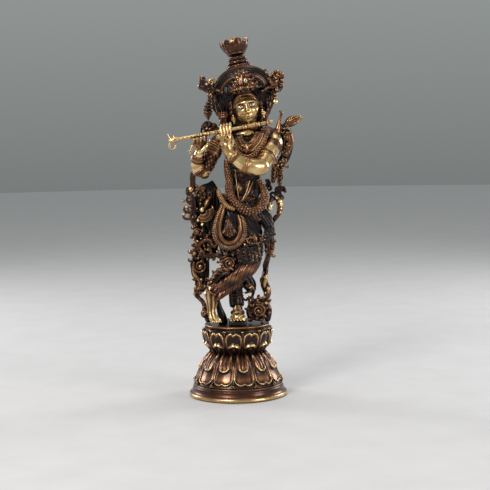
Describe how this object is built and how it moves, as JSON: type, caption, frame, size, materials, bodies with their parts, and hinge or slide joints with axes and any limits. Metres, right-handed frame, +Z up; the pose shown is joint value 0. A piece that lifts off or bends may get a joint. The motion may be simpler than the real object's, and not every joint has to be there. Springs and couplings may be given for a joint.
{
  "type": "hindu deity statue",
  "caption": "Cast-brass figure standing cross-legged with a loose flute, framed by openwork scrolls, on a double lotus pedestal with a hollow plinth.",
  "frame": {"origin": "centre of the flat underside of the pedestal", "axes": "+Z up; the figure faces -Y; +X is the figure's own left"},
  "size_m": [0.0942, 0.0692, 0.254],
  "materials": {
    "polished_brass": "buffed pale gold skin and raised edges",
    "antique_brass": "copper-brown antique wash over cast brass",
    "dark_patina": "near-black patina over cast brass",
    "zinc_steel": "zinc-plated fasteners",
    "eye_enamel": "gloss enamel inlay"
  },
  "bodies": {
    "statue": {"anklet_left": "polished_brass", "anklet_right": "polished_brass", "apron_pleats": "dark_patina", "armlet_left": "antique_brass", "armlet_right": "antique_brass", "base_plate": "antique_brass", "belly_chain": "antique_brass", "belt": "antique_brass", "bracelet_left": "antique_brass", "bracelet_right": "antique_brass", "collar": "antique_brass", "column_left": "antique_brass", "column_right": "antique_brass", "crossing_foot": "polished_brass", "crossing_leg": "antique_brass", "crown_band": "antique_brass", "crown_bud": "polished_brass", "crown_crest": "antique_brass", "crown_dome": "dark_patina", "crown_lotus": "antique_brass", "crown_ring": "antique_brass", "crown_scroll_left": "antique_brass", "crown_scroll_right": "antique_brass", "deck_plate": "antique_brass", "drape_left": "dark_patina", "earring_left": "polished_brass", "earring_right": "polished_brass", "eye_left": "eye_enamel", "eye_right": "eye_enamel", "foot_block": "dark_patina", "forearm_left": "polished_brass", "forearm_right": "polished_brass", "garland": "antique_brass", "garland_inner": "antique_brass", "hair_veil": "dark_patina", "hand_left": "polished_brass", "hand_right": "polished_brass", "head": "polished_brass", "hip_scroll_left": "antique_brass", "hips": "dark_patina", "lower_lotus": "antique_brass", "pendant": "polished_brass", "plinth": "antique_brass", "sash_loop": "antique_brass", "shawl_fall_left": "antique_brass", "shawl_fall_right": "antique_brass", "shoulder_shawl_left": "antique_brass", "shoulder_shawl_right": "antique_brass", "standing_foot": "polished_brass", "standing_leg": "dark_patina", "tie_bolt": "zinc_steel", "tie_nut": "zinc_steel", "tie_washer": "zinc_steel", "torso": "dark_patina", "upper_arm_left": "polished_brass", "upper_arm_right": "antique_brass", "upper_lotus": "dark_patina", "waist_ring": "dark_patina"},
    "flute": {"flute_finial": "polished_brass", "flute_tube": "polished_brass"}
  },
  "joints": [
    {"name": "flute_slide", "type": "slide", "parent": "statue", "child": "flute", "axis": [-0.9849, -0.0511, -0.1654], "range_m": [0, 0.062]}
  ]
}
